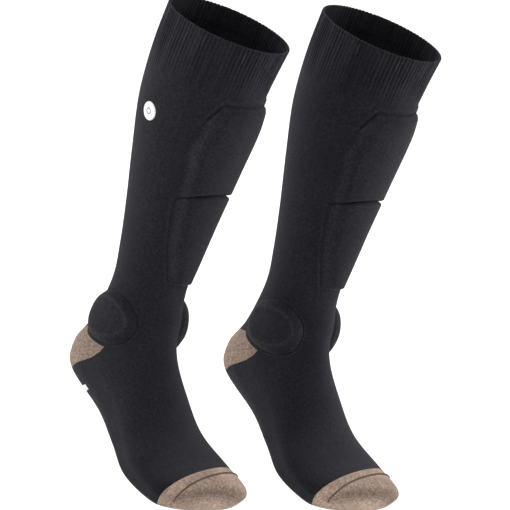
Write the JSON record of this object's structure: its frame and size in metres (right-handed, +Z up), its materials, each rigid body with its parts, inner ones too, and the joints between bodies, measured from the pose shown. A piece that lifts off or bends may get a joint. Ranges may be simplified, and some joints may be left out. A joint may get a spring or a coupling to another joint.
{
  "type": "padded shin guard socks",
  "caption": "Pair of knee-high ribbed knit socks with foam shin pads, round ankle pads, and a contrasting heel and toe; the ankles flex.",
  "frame": {"origin": "centre of the right ankle joint, inside the right sock, where the wearer's leg holds it", "axes": "+X towards the toes, +Y towards the wearer's left, +Z up along the leg"},
  "size_m": [0.2695, 0.351, 0.4626],
  "materials": {
    "knit": "fine ribbed jersey, near black, matt with a little fuzz",
    "rib_knit": "two by two rib, near black, matt",
    "cover_knit": "smooth stretched jersey, near black, matt",
    "foam": "closed-cell foam, dark grey",
    "elastic": "woven elastic, dark grey",
    "tan_knit": "terry-backed jersey, mottled tan, matt",
    "cushion": "looped terry, near black",
    "print": "thin white transfer print"
  },
  "bodies": {
    "right_leg": {"right_cuff": "rib_knit", "right_cuff_elastic": "elastic", "right_leg_sleeve": "knit", "right_ankle_sleeve": "knit", "right_shin_pad_upper": "foam", "right_shin_pad_lower": "foam", "right_shin_cover": "cover_knit", "right_ankle_pad_inner": "foam", "right_ankle_pad_outer": "foam", "right_ankle_cover_inner": "cover_knit", "right_ankle_cover_outer": "cover_knit", "right_badge": "print"},
    "right_foot": {"right_foot_sleeve": "knit", "right_heel": "tan_knit", "right_toe_cap": "tan_knit", "right_toe_seam": "tan_knit", "right_sole_cushion": "cushion", "right_sole_mark": "print"},
    "left_leg": {"left_cuff": "rib_knit", "left_cuff_elastic": "elastic", "left_leg_sleeve": "knit", "left_ankle_sleeve": "knit", "left_shin_pad_upper": "foam", "left_shin_pad_lower": "foam", "left_shin_cover": "cover_knit", "left_ankle_pad_inner": "foam", "left_ankle_pad_outer": "foam", "left_ankle_cover_inner": "cover_knit", "left_ankle_cover_outer": "cover_knit", "left_badge": "print"},
    "left_foot": {"left_foot_sleeve": "knit", "left_heel": "tan_knit", "left_toe_cap": "tan_knit", "left_toe_seam": "tan_knit", "left_sole_cushion": "cushion", "left_sole_mark": "print"}
  },
  "joints": [
    {"name": "right_ankle", "type": "hinge", "parent": "right_leg", "child": "right_foot", "pos_m": [0, 0, 0], "axis": [0, -1, 0], "range_deg": [-15, 35], "deforming": ["right_ankle_sleeve"]},
    {"name": "left_ankle", "type": "hinge", "parent": "left_leg", "child": "left_foot", "pos_m": [-0.014, 0.224, 0], "axis": [0, -1, 0], "range_deg": [-15, 35], "deforming": ["left_ankle_sleeve"]},
    {"name": "pair_apart", "type": "slide", "parent": "right_leg", "child": "left_leg", "axis": [0, 1, 0], "range_m": [0, 0.3]}
  ]
}
